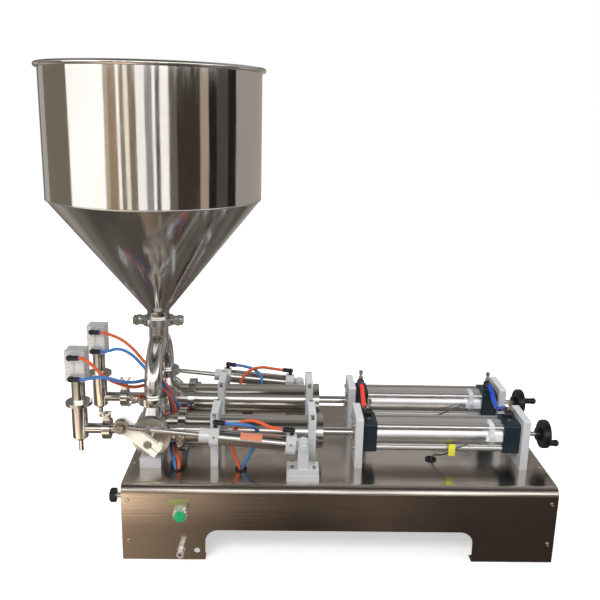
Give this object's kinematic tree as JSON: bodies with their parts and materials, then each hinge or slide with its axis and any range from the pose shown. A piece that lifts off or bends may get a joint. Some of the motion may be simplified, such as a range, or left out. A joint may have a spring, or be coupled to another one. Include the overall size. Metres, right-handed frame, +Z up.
{
  "type": "piston filling machine",
  "caption": "Bench-top pneumatic piston filler: polished hopper over an arched pipe, three-way valves, product barrels, air cylinders and shut-off nozzles on a folded steel base.",
  "frame": {"origin": "on the floor under the middle of the whole outline", "axes": "+X along the barrels from nozzles to handwheels, +Y from the front panel to the back, +Z up"},
  "size_m": [1.2512, 0.541, 1.104],
  "materials": {
    "brushed_steel": "brushed",
    "polished_steel": "polished",
    "satin_aluminium": "satin",
    "plate_aluminium": "bead blasted",
    "cap_navy": "anodised",
    "chrome_rod": "ground",
    "zinc_screw": "zinc plated",
    "nickel": "nickel plated",
    "black_plastic": "moulded",
    "black_rubber": "matt",
    "white_gasket": "matt",
    "hose_orange": "smooth",
    "cable_grey": "matt",
    "switch_white": "smooth",
    "button_green": "smooth",
    "lever_cream": "satin",
    "seal_tan": "machined"
  },
  "bodies": {
    "machine": {"chassis": "brushed_steel", "left_end_panel": "brushed_steel", "right_end_panel": "brushed_steel", "screws": "zinc_screw", "button_bezel": "nickel", "air_inlet": "nickel", "knob_base": "nickel", "hopper_shell": "polished_steel", "hopper_cone": "polished_steel", "hopper_clamp": "polished_steel", "manifold": "polished_steel", "clamp_gaskets": "white_gasket", "deck_grommets": "black_rubber", "barrel_saddles": "plate_aluminium", "barrel_caps": "plate_aluminium", "cylinder_plates": "plate_aluminium", "product_barrels": "polished_steel", "cylinder_end_caps": "cap_navy", "cylinder_tubes": "satin_aluminium", "reed_switches": "switch_white", "flow_controls": "black_plastic", "valve_bodies": "polished_steel", "pipe_clamps": "polished_steel", "nozzle_bodies": "polished_steel", "nozzle_adapters": "polished_steel", "nozzle_cylinders": "satin_aluminium", "nozzle_elbows": "black_plastic", "pivot_brackets": "satin_aluminium", "air_hoses": "hose_orange", "sensor_cables": "cable_grey"},
    "button": {"button_cap": "button_green"},
    "knob": {"air_knob": "black_plastic"},
    "front_valve": {"front_valve_plug": "polished_steel", "front_valve_lever": "lever_cream"},
    "front_actuator": {"front_actuator_barrel": "satin_aluminium", "front_actuator_caps": "satin_aluminium", "front_actuator_elbows": "black_plastic", "front_actuator_hoses": "hose_orange"},
    "front_actuator_piston": {"front_actuator_rod": "chrome_rod", "front_rod_end": "zinc_screw"},
    "front_drive": {"front_drive_rod": "chrome_rod", "front_pistons": "seal_tan"},
    "front_needle": {"front_nozzle_needle": "chrome_rod"},
    "front_wheel": {"front_spindle": "chrome_rod", "front_handwheel": "black_plastic"},
    "front_wheel_grip": {"front_grip": "black_plastic"},
    "rear_valve": {"rear_valve_plug": "polished_steel", "rear_valve_lever": "lever_cream"},
    "rear_actuator": {"rear_actuator_barrel": "satin_aluminium", "rear_actuator_caps": "satin_aluminium", "rear_actuator_elbows": "black_plastic", "rear_actuator_hoses": "hose_orange"},
    "rear_actuator_piston": {"rear_actuator_rod": "chrome_rod", "rear_rod_end": "zinc_screw"},
    "rear_drive": {"rear_drive_rod": "chrome_rod", "rear_pistons": "seal_tan"},
    "rear_needle": {"rear_nozzle_needle": "chrome_rod"},
    "rear_wheel": {"rear_spindle": "chrome_rod", "rear_handwheel": "black_plastic"},
    "rear_wheel_grip": {"rear_grip": "black_plastic"}
  },
  "joints": [
    {"name": "button_press", "type": "slide", "parent": "machine", "child": "button", "axis": [0, 1, 0], "range_m": [0, 0.004], "stiffness_N_per_m": 500},
    {"name": "knob_turn", "type": "hinge", "parent": "machine", "child": "knob", "pos_m": [-0.44565, -0.1965, 0.14], "axis": [1, 0, 0], "range_deg": [0, 90]},
    {"name": "front_valve_turn", "type": "hinge", "parent": "machine", "child": "front_valve", "pos_m": [-0.36665, -0.0905, 0.259], "axis": [0, 1, 0], "range_deg": [0, 90]},
    {"name": "front_actuator_swing", "type": "hinge", "parent": "machine", "child": "front_actuator", "pos_m": [-0.00765, -0.1878, 0.268], "axis": [0, 1, 0], "range_deg": [0, 3.48], "deforming": ["front_actuator_hoses"]},
    {"name": "front_actuator_stroke", "type": "slide", "parent": "front_actuator", "child": "front_actuator_piston", "axis": [-0.9956, 0, 0.0937], "range_m": [-0.10375, 0]},
    {"name": "front_piston_stroke", "type": "slide", "parent": "machine", "child": "front_drive", "axis": [1, 0, 0], "range_m": [0, 0.25]},
    {"name": "front_needle_lift", "type": "slide", "parent": "machine", "child": "front_needle", "axis": [0, 0, 1], "range_m": [0, 0.02]},
    {"name": "front_handwheel_turn", "type": "hinge", "parent": "machine", "child": "front_wheel", "pos_m": [0.56635, -0.0905, 0.259], "axis": [1, 0, 0], "continuous": true},
    {"name": "front_grip_spin", "type": "hinge", "parent": "front_wheel", "child": "front_wheel_grip", "pos_m": [0.59535, -0.0905, 0.235], "axis": [1, 0, 0], "continuous": true},
    {"name": "rear_valve_turn", "type": "hinge", "parent": "machine", "child": "rear_valve", "pos_m": [-0.36665, 0.1135, 0.259], "axis": [0, 1, 0], "range_deg": [0, 90]},
    {"name": "rear_actuator_swing", "type": "hinge", "parent": "machine", "child": "rear_actuator", "pos_m": [-0.00765, 0.2108, 0.268], "axis": [0, 1, 0], "range_deg": [0, 3.48], "deforming": ["rear_actuator_hoses"]},
    {"name": "rear_actuator_stroke", "type": "slide", "parent": "rear_actuator", "child": "rear_actuator_piston", "axis": [-0.9956, 0, 0.0937], "range_m": [-0.10375, 0]},
    {"name": "rear_piston_stroke", "type": "slide", "parent": "machine", "child": "rear_drive", "axis": [1, 0, 0], "range_m": [0, 0.25]},
    {"name": "rear_needle_lift", "type": "slide", "parent": "machine", "child": "rear_needle", "axis": [0, 0, 1], "range_m": [0, 0.02]},
    {"name": "rear_handwheel_turn", "type": "hinge", "parent": "machine", "child": "rear_wheel", "pos_m": [0.56635, 0.1135, 0.259], "axis": [1, 0, 0], "continuous": true},
    {"name": "rear_grip_spin", "type": "hinge", "parent": "rear_wheel", "child": "rear_wheel_grip", "pos_m": [0.59535, 0.09272, 0.271], "axis": [1, 0, 0], "continuous": true}
  ],
  "couplings": [
    {"joint": "front_actuator_swing", "follows": "front_valve_turn", "ratio": 0.038697},
    {"joint": "front_actuator_stroke", "follows": "front_valve_turn", "m_per_rad": -0.066049},
    {"joint": "rear_actuator_swing", "follows": "rear_valve_turn", "ratio": 0.038697},
    {"joint": "rear_actuator_stroke", "follows": "rear_valve_turn", "m_per_rad": -0.066049}
  ]
}
